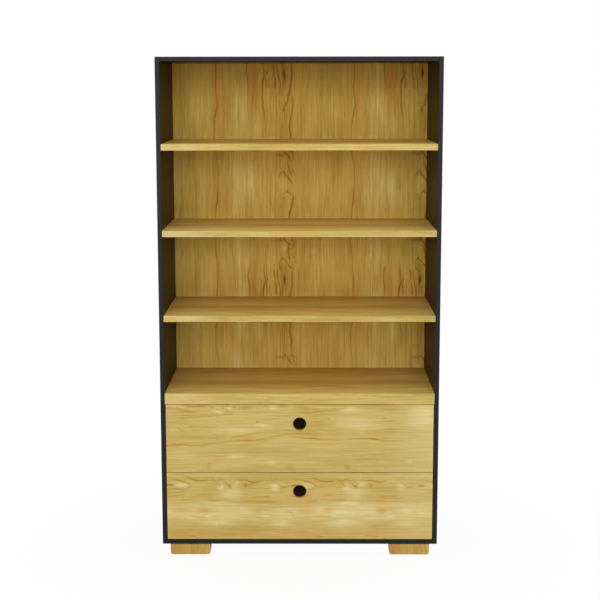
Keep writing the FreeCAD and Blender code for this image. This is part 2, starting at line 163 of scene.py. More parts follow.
class Finish:
    """The node tree of one finish, with the few kinds of node that the finishes here are built from."""

    def __init__(self, tree):
        self.tree = tree
        tree.nodes.clear()

    def node(self, kind, settings=None, values=None, output=0):
        """A node of that kind: its settings first, then numbers or wires into its sockets."""
        node = self.tree.nodes.new(kind)
        for name, setting in (settings or {}).items():
            if name == "stops":
                self.set_stops(node.color_ramp, setting)
            elif name == "points":
                self.set_points(node.mapping, setting)
            else:
                setattr(node, name, setting)
        for name, value in (values or {}).items():
            if isinstance(value, Wire):
                self.tree.links.new(value.socket, node.inputs[name])
            else:
                node.inputs[name].default_value = value
        return Wire(self, node.outputs[output]) if node.outputs else None

    def set_stops(self, ramp, stops):
        while len(ramp.elements) < len(stops):
            ramp.elements.new(1.0)
        for element, (place, colour) in zip(ramp.elements, stops):
            element.position = place
            element.color = (*colour, 1.0)

    def set_points(self, mapping, points):
        mapping.extend = "HORIZONTAL"
        curve = mapping.curves[0]
        while len(curve.points) < len(points):
            curve.points.new(1.0, 1.0)
        for point, place in zip(curve.points, points):
            point.location = place
        mapping.update()

    def curve(self, value, points):
        """A value read off a smooth curve through points, whose places and heights are from 0 to 1."""
        return self.node("ShaderNodeFloatCurve", {"points": points}, {"Value": value})

    def sum(self, operation, *parts):
        return self.node("ShaderNodeMath", {"operation": operation}, dict(enumerate(parts)))

    def vector(self, operation, *parts, output=0):
        return self.node("ShaderNodeVectorMath", {"operation": operation}, dict(enumerate(parts)), output)

    def place(self):
        """The x, y and z of the shaded point, in metres."""
        whole = self.node("ShaderNodeTexCoord", output="Object")
        split = self.node("ShaderNodeSeparateXYZ", values={0: whole}).socket.node
        return [Wire(self, split.outputs[axis]) for axis in range(3)]

    def point(self, x, y, z):
        return self.node("ShaderNodeCombineXYZ", values={0: x, 1: y, 2: z})

    def noise(self, point, scales, detail=2.0, roughness=0.5, distortion=0.0):
        """Smooth random values about 0.5, with that many swells to the metre along each axis."""
        return self.node(
            "ShaderNodeTexNoise",
            values={
                "Vector": self.vector("MULTIPLY", point, scales),
                "Scale": 1.0,
                "Detail": detail,
                "Roughness": roughness,
                "Distortion": distortion,
            },
        )

    def step(self, value, low, high, to_low=0.0, to_high=1.0):
        """A smooth change from one value to another between low and high."""
        return self.node(
            "ShaderNodeMapRange",
            {"interpolation_type": "SMOOTHSTEP"},
            {"Value": value, "From Min": low, "From Max": high, "To Min": to_low, "To Max": to_high},
        )

    def mix(self, share, first, second):
        """A colour between two colours."""
        first, second = [c if isinstance(c, Wire) else (*c, 1.0) for c in (first, second)]
        values = {MIX_SHARE: share, MIX_FIRST: first, MIX_SECOND: second}
        return self.node("ShaderNodeMix", {"data_type": "RGBA"}, values, MIX_RESULT)

    def shaded(self, colour, share):
        """A colour made lighter or darker all over."""
        return self.node("ShaderNodeVectorMath", {"operation": "SCALE"}, {0: colour, "Scale": share})

    def ramp(self, share, stops):
        return self.node("ShaderNodeValToRGB", {"stops": stops}, {0: share})

    def cover(self, colour, roughness, relief, depth=0.0001, **plain):
        """The surface itself: relief is a height from 0 to 1 and depth its size in metres."""
        bump = self.node("ShaderNodeBump", values={"Strength": 1.0, "Distance": depth, "Height": relief})
        values = {"Base Color": colour, "Roughness": roughness, "Normal": bump}
        values.update({name.replace("_", " "): value for name, value in plain.items()})
        shader = self.node("ShaderNodeBsdfPrincipled", values=values)
        self.node("ShaderNodeOutputMaterial", values={"Surface": shader})


# The axes that a board's grain can run along.
X_AXIS, Y_AXIS, Z_AXIS = range(3)


def new_finish(name):
    material = bpy.data.materials.new(name)
    material.use_nodes = True
    return material, Finish(material.node_tree)


def grain_first(place, grain_axis):
    """The part of a place that runs along the grain, and the two parts across it."""
    return [place[grain_axis]] + [place[axis] for axis in range(3) if axis != grain_axis]


# ---- Honey-coloured timber ------------------------------------------------------------------------
# Colours of plain wood, of its warm, pale and olive parts, and of the brown latewood in its grain lines.
# SHADED_WOOD is the wood inside the case, warmer and more saturated, with the light bounced between its boards
# painted in; FRONT_WOOD is the same wood on the fronts.
SHADED_WOOD = {
    "plain": (0.640, 0.415, 0.076),
    "olive": (0.610, 0.405, 0.070),
    "warm": (0.620, 0.300, 0.043),
    "pale": (0.780, 0.580, 0.165),
    "brown": (0.235, 0.078, 0.011),
    "knot": (0.150, 0.052, 0.004),
}
FRONT_WOOD = {
    "plain": (0.532, 0.394, 0.123),
    "olive": (0.514, 0.382, 0.112),
    "warm": (0.560, 0.338, 0.082),
    "pale": (0.700, 0.585, 0.270),
    "brown": (0.350, 0.175, 0.026),
    "knot": (0.260, 0.130, 0.018),
}
FOOT_WOOD = {
    "plain": (0.510, 0.335, 0.084),
    "olive": (0.480, 0.315, 0.075),
    "warm": (0.440, 0.225, 0.052),
    "pale": (0.600, 0.430, 0.140),
    "brown": (0.250, 0.095, 0.014),
    "knot": (0.120, 0.040, 0.008),
}

# The figure of each board, in millimetres on its leaf. Lines are (half width, [(along, across, strength)]),
# and warm, pale and brown patches are (across, along, half width, half length, strength). A leaf is the
# width and length, in metres, after which a figure comes again.
BACK_LEAF = (0.525, 0.790)
BACK_LINES = [
    (3.6, [(4, 468, 0), (24, 467, 0.5), (52, 465, 0.8), (87, 465, 0.8), (103, 461, 0.7), (125, 458, 0.8),
           (154, 451, 0.8), (173, 446, 0.9), (187, 437, 0.7), (200, 433, 0.8), (206, 432, 0)]),
    (3.6, [(140, 470, 0), (156, 469, 0.5), (176, 469, 0.8), (199, 467, 0.8), (226, 463, 0.7),
           (260, 457, 0.8), (300, 462, 0.8), (350, 460, 0)]),
    (3.2, [(24, 357, 0.4), (52, 361, 0.7), (68, 361, 0.7), (88, 356, 0.9), (114, 354, 0.75),
           (146, 354, 0.7), (176, 356, 0.7), (203, 360, 0.6), (246, 364, 0.4), (307, 366, 0.3),
           (340, 366, 0)]),
    (2.8, [(52, 368, 0), (58, 371, 0.6), (66, 369, 0.4), (78, 364, 0.7), (88, 368, 0.7), (100, 369, 0.6),
           (114, 370, 0.5), (122, 370, 0)]),
    (2.2, [(80, 377, 0), (90, 377, 0.45), (114, 377, 0.4), (122, 377, 0), (165, 383, 0), (180, 384, 0.3),
           (205, 386, 0.4), (224, 386, 0.4), (260, 387, 0)]),
    (3.2, [(18, 395, 0), (26, 397, 0.7), (41, 398, 0.8), (56, 400, 0.7), (66, 398, 0.5), (78, 402, 0.6),
           (90, 404, 0.8), (114, 404, 0.8), (122, 405, 0)]),
    (3.2, [(16, 408, 0), (25, 409, 0.5), (47, 410, 0.7), (62, 412, 0.6), (76, 415, 0.7), (92, 419, 0.7),
           (114, 420, 0.7), (143, 420, 0.5), (152, 420, 0)]),
    (2.4, [(155, 421, 0), (162, 420, 0.4), (176, 418, 0.45), (184, 424, 0.4), (190, 430, 0.3),
           (196, 432, 0)]),
    (3.2, [(24, 175, 0.5), (89, 177, 0.6), (124, 175, 0.5), (174, 180, 0.5), (214, 175, 0.85),
           (239, 170, 0.5), (304, 167, 0.35), (384, 175, 0.4), (424, 178, 0.3), (499, 178, 0.4),
           (544, 176, 0.85), (579, 171, 0.4), (694, 167, 0.4), (770, 175, 0.4)]),
    (3.0, [(10, 296, 0), (24, 295, 0.6), (54, 292, 0.6), (89, 297, 0.5), (130, 300, 0.2), (150, 300, 0)]),
    (3.4, [(357, 437, 0), (361, 440, 0.7), (366, 446, 0.8), (374, 452, 0.8), (381, 454, 0.9),
           (388, 458, 0.6), (392, 462, 0)]),
    (3.0, [(352, 463, 0), (359, 465, 0.8), (366, 469, 0.6), (376, 470, 0.6), (385, 468, 0.6),
           (391, 463, 0.5), (394, 461, 0)]),
    (3.4, [(386, 447, 0), (400, 448, 0.5), (415, 452, 0.7), (426, 454, 0.6), (437, 458, 0.7),
           (444, 460, 0.6), (450, 461, 0)]),
    (2.4, [(424, 466, 0), (428, 467, 0.7), (438, 470, 0.4), (447, 474, 0.5), (452, 476, 0)]),
    (4.0, [(428, 428, 0), (433, 431, 0.7), (438, 434, 0.85), (444, 438, 0.8), (453, 446, 0.7),
           (464, 454, 0.8), (474, 462, 0.8), (480, 466, 0.3), (484, 468, 0)]),
    (3.8, [(428, 430, 0), (433, 427, 0.7), (438, 422, 0.7), (446, 418, 0.5), (454, 415, 0.3), (462, 414, 0)]),
    (3.8, [(504, 445, 0), (508, 446, 0.8), (513, 450, 0.5), (519, 459, 0.4), (524, 467, 0.5),
           (535, 468, 0.6), (553, 465, 0.75), (571, 461, 0.8), (589, 457, 0.9), (606, 456, 0.8),
           (640, 459, 0.4), (660, 461, 0)]),
    (3.2, [(504, 446, 0), (509, 444, 0.7), (516, 436, 0.4), (523, 422, 0.35), (530, 413, 0.3),
           (545, 410, 0.2), (560, 410, 0)]),
    (2.4, [(505, 384, 0), (520, 384, 0.35), (545, 385, 0.4), (568, 386, 0.3), (590, 386, 0.35),
           (605, 386, 0)]),
    (3.6, [(688, 436, 0), (692, 438, 0.8), (698, 441, 0.7), (704, 447, 0.8), (713, 454, 0.9),
           (722, 453, 0.7), (730, 452, 0.7), (744, 452, 0.7), (758, 454, 0.6), (769, 456, 0.8),
           (775, 458, 0)]),
    (3.0, [(692, 464, 0), (697, 466, 0.8), (704, 470, 0.6), (712, 471, 0.6), (722, 469, 0.6),
           (729, 463, 0.6), (734, 459, 0.3), (740, 455, 0)]),
    (4.0, [(0, 448, 0.6), (6, 453, 0.8), (12, 458, 0.7), (19, 464, 0.5), (26, 467, 0), (762, 427, 0),
           (767, 430, 0.8), (772, 434, 0.8), (778, 438, 0.6), (787, 446, 0.5), (790, 448, 0.6)]),
    (3.6, [(0, 415, 0.5), (8, 418, 0.5), (18, 422, 0.5), (30, 424, 0), (762, 431, 0), (767, 428, 0.8),
           (773, 423, 0.6), (780, 418, 0.5), (790, 415, 0.5)]),
    (2.4, [(440, 353, 0), (470, 353, 0.35), (500, 354, 0.35), (520, 354, 0)]),
]
BACK_WARM = [
    (316, 85, 30, 110, 0.55), (186, 160, 30, 170, 0.42), (434, 60, 22, 70, 0.45), (450, 250, 18, 60, 0.35),
    (180, 540, 38, 90, 0.38), (440, 570, 24, 60, 0.35), (65, 372, 30, 60, 0.3), (462, 354, 16, 60, 0.3),
    (322, 375, 30, 60, 0.22), (445, 765, 18, 30, 0.35),
]
BACK_PALE = [
    (266, 190, 36, 150, 0.52), (330, 262, 26, 60, 0.42), (258, 480, 36, 160, 0.46),
    (316, 470, 36, 120, 0.46), (434, 478, 22, 34, 0.45), (432, 402, 15, 28, 0.45), (264, 740, 38, 120, 0.45),
    (437, 145, 14, 50, 0.4), (431, 728, 15, 26, 0.45), (28, 746, 12, 20, 0.32), (100, 190, 30, 90, 0.2),
]
BACK_BROWN = [
    (436, 62, 6, 26, 1.0), (432, 199, 4, 7, 0.5), (356, 88, 4, 5, 0.6), (370, 60, 4, 4, 0.5),
    (437, 359, 5, 5, 0.6), (465, 361, 4, 5, 0.5), (467, 428, 4, 6, 0.6), (445, 508, 4, 4, 0.6),
    (437, 692, 5, 5, 0.6), (466, 697, 4, 5, 0.6), (469, 760, 4, 5, 0.6), (420, 366, 30, 7, 0.35),
    (417, 700, 32, 8, 0.35), (433, 535, 11, 9, 0.3), (422, 16, 8, 15, 0.35),
]

UPPER_LEAF = (0.600, 1.000)
UPPER_LINES = [
    (3.4, [(0, 194, 0.5), (60, 191, 0.7), (95, 191, 0.5), (150, 188, 0.35), (200, 179, 0.3),
           (250, 173, 0.35), (290, 174, 0.7), (320, 174, 0.5), (360, 168, 0.3), (400, 161, 0.35),
           (440, 153, 0.4), (484, 150, 0.5), (530, 150, 0.2), (560, 152, 0)]),
    (2.8, [(440, 160, 0), (484, 165, 0.5), (520, 166, 0.6), (540, 167, 0.85), (555, 171, 0.5),
           (600, 172, 0.4), (650, 171, 0.3), (700, 165, 0.3), (735, 166, 0.6), (750, 167, 0.85),
           (765, 170, 0.6), (800, 173, 0.45), (850, 171, 0.3), (900, 163, 0.2), (930, 160, 0)]),
    (4.0, [(230, 165, 0), (260, 157, 0.3), (300, 152, 0.35), (340, 147, 0.3), (400, 148, 0.15),
           (440, 147, 0)]),
    (3.0, [(0, 53, 0.5), (40, 57, 0.6), (65, 63, 0.6), (100, 69, 0.4), (130, 72, 0)]),
    (3.0, [(60, 44, 0), (75, 47, 0.6), (110, 49, 0.8), (150, 46, 0.5), (185, 44, 0)]),
    (2.0, [(170, 56, 0), (185, 60, 0.4), (210, 66, 0.4), (245, 69, 0)]),
    (3.0, [(40, 94, 0), (70, 92, 0.5), (110, 87, 0.4), (170, 84, 0.3), (200, 82, 0)]),
    (2.6, [(0, 86, 0.3), (50, 84, 0.35), (90, 80, 0.3), (150, 76, 0)]),
    (2.6, [(80, 125, 0), (100, 125, 0.4), (150, 124, 0.35), (200, 124, 0)]),
    (2.4, [(90, 137, 0), (110, 138, 0.35), (150, 140, 0.3), (220, 139, 0)]),
    (2.4, [(40, 128, 0), (46, 132, 0.4), (56, 139, 0.5), (64, 140, 0)]),
    (3.0, [(480, 72, 0), (520, 72, 0.5), (560, 66, 0.4), (600, 61, 0.35), (650, 52, 0)]),
    (2.6, [(470, 52, 0.2), (500, 54, 0.5), (530, 54, 0.3), (560, 58, 0)]),
    (2.4, [(740, 104, 0), (770, 105, 0.4), (810, 104, 0.35), (840, 101, 0)]),
]
UPPER_WARM = [
    (186, 50, 14, 75, 0.55), (163, 295, 18, 50, 0.55), (158, 500, 16, 65, 0.55), (86, 765, 9, 55, 0.45),
    (58, 500, 18, 50, 0.45), (150, 620, 20, 110, 0.3), (158, 760, 20, 75, 0.4), (245, 190, 14, 30, 0.35),
]
UPPER_PALE = [
    (52, 390, 11, 18, 0.5), (58, 235, 7, 11, 0.45), (66, 195, 11, 26, 0.4), (260, 388, 8, 20, 0.3),
    (256, 885, 10, 17, 0.35), (140, 230, 11, 110, 0.4), (120, 355, 6, 36, 0.5), (112, 685, 32, 130, 0.34),
    (60, 665, 14, 50, 0.45), (85, 930, 60, 70, 0.45), (25, 60, 34, 90, 0.7), (228, 60, 24, 50, 0.12),
    (230, 250, 14, 40, 0.35),
]
UPPER_BROWN = [
    (57, 213, 4, 7, 0.6), (45, 228, 4, 6, 0.5), (52, 252, 6, 6, 0.5), (55, 172, 6, 7, 0.6),
    (55, 297, 7, 38, 0.5), (45, 365, 4, 7, 0.5), (48, 430, 8, 20, 0.35), (108, 335, 6, 7, 0.55),
    (95, 590, 5, 5, 0.5), (92, 790, 5, 5, 0.4), (270, 155, 14, 14, 0.25), (275, 450, 9, 18, 0.3),
    (275, 655, 12, 14, 0.3),
]

LOWER_LEAF = (0.600, 0.455)
LOWER_LINES = [
    (3.0, [(0, 322, 0.3), (25, 322, 0.5), (45, 325, 0.7), (65, 330, 0.8), (80, 337, 0.7), (90, 345, 0.6),
           (95, 352, 0)]),
    (2.2, [(0, 357, 0.4), (40, 357, 0.5), (70, 357, 0.5), (88, 350, 0.5), (94, 344, 0)]),
    (3.6, [(0, 343, 0.7), (15, 343, 0.8), (28, 342, 0.3), (40, 340, 0)]),
    (2.6, [(0, 370, 0.4), (30, 371, 0.5), (60, 368, 0.4), (80, 366, 0)]),
    (2.6, [(0, 383, 0.4), (30, 384, 0.5), (55, 382, 0.5), (80, 380, 0), (100, 380, 0), (130, 380, 0.5),
           (150, 380, 0.3), (200, 379, 0)]),
    (2.6, [(50, 402, 0), (65, 401, 0.5), (90, 401, 0.5), (100, 401, 0), (140, 398, 0), (165, 399, 0.45),
           (195, 399, 0.4), (205, 398, 0), (262, 402, 0), (290, 402, 0.35), (378, 402, 0.4), (385, 402, 0)]),
    (3.4, [(60, 314, 0), (75, 317, 0.4), (90, 320, 0.7), (105, 326, 0.9), (125, 328, 0.9), (145, 326, 0.7),
           (155, 324, 0)]),
    (3.2, [(262, 322, 0), (272, 323, 0.6), (290, 323, 0.7), (305, 328, 0.9), (322, 330, 0.9),
           (335, 327, 0.7), (352, 322, 0.3), (360, 321, 0)]),
    (2.6, [(165, 318, 0), (170, 322, 0.7), (176, 328, 0.3), (185, 336, 0.4), (192, 344, 0.7), (200, 346, 0)]),
    (2.6, [(178, 330, 0), (186, 326, 0.6), (196, 320, 0.5), (205, 322, 0.4), (212, 330, 0.3),
           (220, 338, 0.4), (228, 345, 0.6), (236, 350, 0.5), (242, 352, 0)]),
    (2.6, [(225, 322, 0), (232, 330, 0.5), (240, 334, 0.4), (250, 326, 0.5), (256, 320, 0.4), (262, 318, 0)]),
    (2.6, [(375, 318, 0), (384, 324, 0.4), (395, 330, 0.4), (405, 336, 0.3), (412, 344, 0.6),
           (425, 350, 0.7), (438, 348, 0.5), (448, 342, 0)]),
    (2.6, [(385, 322, 0), (398, 316, 0.4), (408, 320, 0.4), (420, 328, 0.4), (432, 333, 0.5),
           (445, 330, 0.3), (452, 326, 0)]),
    (2.6, [(320, 385, 0), (350, 383, 0.4), (375, 383, 0.5), (382, 383, 0)]),
    (2.6, [(80, 456, 0), (100, 460, 0.35), (130, 462, 0.4), (160, 462, 0), (425, 438, 0), (452, 442, 0.5)]),
    (2.6, [(80, 532, 0), (95, 533, 0.5), (110, 536, 0.4), (125, 540, 0), (255, 532, 0), (285, 534, 0.5),
           (305, 536, 0.4), (315, 538, 0)]),
]
LOWER_WARM = [
    (388, 112, 11, 20, 0.54), (435, 55, 16, 45, 0.48), (436, 135, 16, 30, 0.48), (438, 332, 18, 28, 0.48),
    (436, 362, 20, 40, 0.3), (525, 45, 20, 62, 0.78), (520, 122, 16, 42, 0.66), (525, 235, 11, 38, 0.72),
    (515, 300, 22, 42, 0.6), (520, 430, 20, 32, 0.72), (392, 330, 16, 75, 0.42), (342, 310, 18, 55, 0.42),
    (390, 30, 30, 60, 0.36), (522, 228, 26, 900, 0.36), (415, 50, 24, 50, 0.32), (468, 45, 18, 45, 0.28),
]
LOWER_PALE = [
    (350, 200, 18, 17, 0.6), (340, 250, 20, 24, 0.42), (350, 395, 18, 18, 0.6), (342, 60, 10, 36, 0.6),
    (455, 152, 7, 32, 0.78), (461, 364, 8, 28, 0.78), (444, 228, 40, 900, 0.5), (482, 190, 20, 90, 0.42),
    (484, 415, 22, 50, 0.42), (455, 20, 10, 30, 0.5), (370, 235, 30, 46, 0.48), (412, 195, 12, 90, 0.48),
]
LOWER_BROWN = [
    (343, 12, 4, 16, 0.8), (343, 285, 7, 7, 0.6), (347, 232, 8, 8, 0.5), (300, 60, 6, 40, 0.2),
]

# The tint of the back sheet at three heights in each compartment, as shares of the way up to the ceiling:
# partly the wood's own tone and partly painted shade.
BACK_TINTS_AND_SHADE = [
    (0.01, (0.92, 0.97, 1.11)),
    (0.06, (1.01, 1.07, 1.18)),
    (0.14, (1.12, 1.17, 1.24)),
    (0.26, (0.80, 0.80, 0.81)),
    (0.37, (1.12, 1.20, 1.38)),
    (0.44, (1.02, 1.04, 1.05)),
    (0.53, (0.84, 0.88, 0.99)),
    (0.64, (0.99, 1.07, 1.23)),
    (0.72, (0.94, 0.94, 1.04)),
    (0.78, (0.87, 0.89, 0.86)),
    (0.88, (0.96, 0.94, 0.85)),
    (0.97, (0.88, 0.78, 0.59)),
]
# The ramp holds the tints as shares of this one, so that no stop is over 1.
BACK_TINT_PEAK = 1.4
# Where on its leaf the back sheet starts, as shares of the leaf.
BACK_LEAF_START = (0.0238, 0.0304)
BACK_CONTRAST = 0.95
REAR_FACE_TINT = (0.95, 0.93, 1.35)
REAR_FACE_START = CASE_REAR - 0.001
REAR_FACE_END = CASE_REAR - 0.0002

# The grain under the figure, as swells to the metre across the board, along it and through it.
SWAY_SWELLS = (9.0, 3.5, 9.0)
RIPPLE_SWELLS = (40.0, 22.0, 40.0)
TONE_SWELLS = (24.0, 4.0, 24.0)
STREAK_SWELLS = (170.0, 4.5, 170.0)
HAIR_SWELLS = (420.0, 12.0, 420.0)
PORE_SWELLS = (900.0, 40.0, 900.0)
# How far the grain strays from a straight line, in metres, and the figure with it, in millimetres.
SWAY_WIDTH = 0.016
RIPPLE_WIDTH = 0.003
LINE_RIPPLE = 3.0
PATCH_RIPPLE = 6.0
PATCH_SWAY = 40.0
PATCH_REACH = 1.3
# How much each part of the grain shades the wood, and the powers of its red, green and blue in shade.
STREAK_SHADE = 0.75
HAIR_SHADE = 0.65
TONE_SHADE = 0.50
SWAY_SHADE = 0.10
SHADE_POWERS = (0.74, 1.12, 2.4)
BROWN_STREAK = 0.20
BROWN_PORE = 0.25
WARM_TONE = 0.22
# The values of the noises between which pores, tones and streaks set in.
PORE_RANGE = (0.62, 0.72)
PLAIN_RANGE = (0.36, 0.56)
WARM_RANGE = (0.50, 0.72)
BROWN_RANGE = (0.52, 0.22)
# The strength of a patch, with what the tone and the streaks of the wood add to it.
PATCH_STRENGTH = 0.9
PATCH_TONE = 0.6
PATCH_STREAK = 0.7
# Roughness and relief, with what hairs, streaks and pores add to them.
TIMBER_ROUGHNESS = 0.58
HAIR_ROUGHNESS = 0.16
PORE_ROUGHNESS = 0.10
HAIR_RELIEF = 0.5
STREAK_RELIEF = 0.2
PORE_RELIEF = 0.5
# The drawn grain lines and the warm glow beside them, whose widths are multiples of the line's own.
LINE_WIDTH = 1.55
LINE_DEPTH = 0.66
LINE_POWERS = (0.9, 1.3, 3.2)
GLOW_WIDTH = 6.0
GLOW_SHARE = 0.5
TIMBER_GLOSS = 0.18

# The fronts get paler towards their right-hand ends, at these distances from the left one.
FRONT_CONTRAST = 0.62
FRONT_FADE_START = 0.78
FRONT_FADE_END = 0.95
FRONT_FADE = 0.3

# Shelves and their lippings. LIPPING_TINT takes the painted bounce light of SHADED_WOOD out again, so that a
# lipping has the colours of the fronts. The left end of a lipping is paler, and parts of it are warmer.
LIPPING_TINT = (0.845, 0.950, 1.48)
LIPPING_FRONT = SHELF_FRONT + 0.0002
LIPPING_BACK = SHELF_FRONT + 0.0010
LIPPING_END_START = -0.25
LIPPING_END = -0.46
LIPPING_END_PALENESS = 0.45
BLUSH_SWELLS = (11.0, 1.0, 30.0)
BLUSH_RANGE = (0.5, 0.75)
BLUSH_SHARE = 0.5
# The lines of the grain shift this far for each metre of height, and so go on down the front edge.
SHELF_EDGE_TURN = 0.8
WAVER_SWELLS = (5.0, 30.0, 5.0)
WAVER_WIDTH = 0.16
# Painted shade in bands across a shelf, from the wall at its back, where it is darkest, to its front edge, as
# shares of the lightest.
SHELF_SHADE_BANDS = [
    (0.00, (0.59, 0.47, 0.40)),
    (0.21, (0.70, 0.60, 0.59)),
    (0.30, (0.75, 0.67, 0.77)),
    (0.45, (0.81, 0.72, 0.82)),
    (0.54, (0.64, 0.50, 0.43)),
    (0.63, (0.70, 0.60, 0.55)),
    (0.72, (0.85, 0.76, 0.82)),
    (0.90, (0.92, 0.89, 0.99)),
]
SHADE_BAND_SCALE = (1.36, 1.55, 2.05)
# (where its grain starts, the tint of its top with its painted light and shade, the lightness of its lipping)
SHELF_LOOKS = {
    "drawer_top_board": (0.0, (1.0, 1.0, 1.0), 1.0),
    "lower_shelf": (0.7, (1.05, 1.05, 1.09), 0.93),
    "middle_shelf": (1.9, (1.06, 1.18, 1.36), 0.97),
    "upper_shelf": (3.1, (1.44, 1.43, 1.25), 1.03),
}

# The feet stand at this pitch from FOOT_LEFT on. Each is browner up to a fade, and has fine upright lines.
FOOT_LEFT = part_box("front_left_foot")[0].x
FOOT_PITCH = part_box("front_right_foot")[0].x - FOOT_LEFT
# The lines of the grain shift this far for each metre of depth, and so show on the sides of a foot.
FOOT_GRAIN_TURN = 0.7
FOOT_BROWN_END = 0.060
FOOT_BROWN_FADE = 0.030
FOOT_BROWN_SHARE = 0.6
FOOT_LINE_PITCH = 0.004
FOOT_LINE_EDGES = (0.0007, 0.0002)
FOOT_LINE_SHARE = 0.35


def strongest(finish, weights):
    best = None
    for weight in weights:
        best = weight if best is None else finish.sum("MAXIMUM", best, weight)
    return best


def patches(finish, place, leaf, rows):
    """The strongest of a list of soft elongated spots on the repeating leaf."""
    half = (leaf[0] * 500, leaf[1] * 500, 1.0)
    spots = []
    for across, along, half_width, half_length, strength in rows:
        offset = finish.vector("SUBTRACT", place, (across, along, 0.0))
        offset = finish.vector("WRAP", offset, half, (-half[0], -half[1], -1.0))
        scaled = finish.vector("MULTIPLY", offset, (1 / half_width, 1 / half_length, 0.0))
        distance = finish.vector("LENGTH", scaled, output="Value")
        spots.append(finish.step(distance, 0.0, PATCH_REACH, strength, 0.0))
    return strongest(finish, spots)


def grain_lines(finish, across, along, leaf, rows):
    """The strongest of a list of wavy lines, and of the soft glow beside each of them.

    Across is in millimetres and along is a share of the leaf.
    """
    width, length = leaf[0] * 1000, leaf[1] * 1000
    lines, glows = [], []
    for half_width, points in rows:
        middle = finish.curve(along, [(a / length, c / width) for a, c, _ in points])
        strength = finish.curve(along, [(a / length, s) for a, _, s in points])
        away = finish.sum("ABSOLUTE", across - middle * width)
        lines.append(finish.step(away, 0.0, half_width * LINE_WIDTH, strength, 0.0))
        glows.append(finish.step(away, 0.0, half_width * GLOW_WIDTH, strength, 0.0))
    return strongest(finish, lines), strongest(finish, glows)


def darkened(finish, colour, share, powers):
    """A colour times a share, with a power of its own for red, green and blue."""
    return finish.vector("MULTIPLY", colour, finish.point(*(share ** power for power in powers)))


def honey_timber(finish, across, along, depth, wood, leaf=None, leaf_start=None, figure=None, contrast=1.0):
    """Colour, roughness and relief of honey-coloured wood, with or without a figure on a repeating leaf.

    Across, along and depth are metres along the grain's axes.
    """
    grain = finish.point(across, along, depth)
    sway = finish.noise(grain, SWAY_SWELLS) - 0.5
    ripple = finish.noise(grain, RIPPLE_SWELLS, detail=1.0) - 0.5
    flow = across + sway * SWAY_WIDTH + ripple * RIPPLE_WIDTH
    flowing = finish.point(flow, along, depth)

    tone = finish.noise(flowing, TONE_SWELLS, detail=3.0, roughness=0.6)
    streak = finish.noise(flowing, STREAK_SWELLS, detail=3.0, roughness=0.66)
    hair = finish.noise(flowing, HAIR_SWELLS, roughness=0.6)
    pore = finish.step(finish.noise(grain, PORE_SWELLS, detail=1.0), *PORE_RANGE)

    colour = finish.mix(finish.step(tone, *PLAIN_RANGE), wood["olive"], wood["plain"])
    colour = finish.mix(finish.step(tone, *WARM_RANGE) * WARM_TONE, colour, wood["warm"])
    if figure:
        lines, warm, pale, brown = figure
        leaf_across = finish.sum("FRACT", flow / leaf[0] + leaf_start[0]) * (leaf[0] * 1000)
        leaf_along = finish.sum("FRACT", along / leaf[1] + leaf_start[1])
        down_leaf = leaf_along * (leaf[1] * 1000) + sway * PATCH_SWAY
        place = finish.point(leaf_across + ripple * PATCH_RIPPLE, down_leaf, 0.0)
        edge = PATCH_STRENGTH + tone * PATCH_TONE + streak * PATCH_STREAK
        line, glow = grain_lines(finish, leaf_across + ripple * LINE_RIPPLE, leaf_along, leaf, lines)
        colour = finish.mix(patches(finish, place, leaf, pale) * edge, colour, wood["pale"])
        warmth = finish.sum("MAXIMUM", patches(finish, place, leaf, warm) * edge, glow * GLOW_SHARE)
        colour = finish.mix(warmth, colour, wood["warm"])
        colour = darkened(finish, colour, 1.0 - line * (LINE_DEPTH * contrast), LINE_POWERS)
        colour = finish.mix(patches(finish, place, leaf, brown), colour, wood["knot"])
    shade = 1.0 + (streak - 0.5) * (STREAK_SHADE * contrast) + (hair - 0.5) * (HAIR_SHADE * contrast)
    shade = shade + (tone - 0.5) * (TONE_SHADE * contrast) + sway * SWAY_SHADE
    colour = darkened(finish, colour, shade, SHADE_POWERS)
    browned = finish.step(streak, *BROWN_RANGE) * (BROWN_STREAK * contrast)
    colour = finish.mix(browned, colour, wood["brown"])
    colour = finish.mix(pore * BROWN_PORE, colour, wood["brown"])

    roughness = TIMBER_ROUGHNESS + (hair - 0.5) * HAIR_ROUGHNESS + pore * PORE_ROUGHNESS
    relief = hair * HAIR_RELIEF + streak * STREAK_RELIEF - pore * PORE_RELIEF
    return colour, roughness, relief


def finish_back_sheet():
    """Upright timber, tinted by its height inside the case, partly as painted shade, and evenly on its rear
    face.
    """
    material, finish = new_finish("honey_back_sheet")
    x, y, z = finish.place()
    surface = honey_timber(
        finish, x + SIDE_INNER_FACE, CEILING - z, y, SHADED_WOOD, BACK_LEAF, BACK_LEAF_START,
        (BACK_LINES, BACK_WARM, BACK_PALE, BACK_BROWN), BACK_CONTRAST,
    )
    height = (z - DRAWER_BOARD_TOP) / (CEILING - DRAWER_BOARD_TOP)
    stops = [(share, tuple(part / BACK_TINT_PEAK for part in tint_and_shade)) for share, tint_and_shade in BACK_TINTS_AND_SHADE]
    tint_and_shade = finish.shaded(finish.ramp(height, stops), BACK_TINT_PEAK)
    tint_and_shade = finish.mix(finish.step(y, REAR_FACE_START, REAR_FACE_END), tint_and_shade, REAR_FACE_TINT)
    colour = finish.vector("MULTIPLY", surface[0], tint_and_shade)
    finish.cover(colour, *surface[1:], Specular_IOR_Level=TIMBER_GLOSS)
    return material


def finish_drawer_front(name, leaf, figure):
    """Timber whose grain runs from side to side, paler towards its right-hand end."""
    material, finish = new_finish(name)
    x, y, z = finish.place()
    along = x + SIDE_INNER_FACE
    surface = honey_timber(
        finish, FIGURE_TOP - z, along, y, FRONT_WOOD, leaf, (0.0, 0.0), figure, FRONT_CONTRAST
    )
    faded = finish.step(along, FRONT_FADE_START, FRONT_FADE_END) * FRONT_FADE
    colour = finish.mix(faded, surface[0], FRONT_WOOD["pale"])
    finish.cover(colour, *surface[1:], Specular_IOR_Level=TIMBER_GLOSS)
    return material


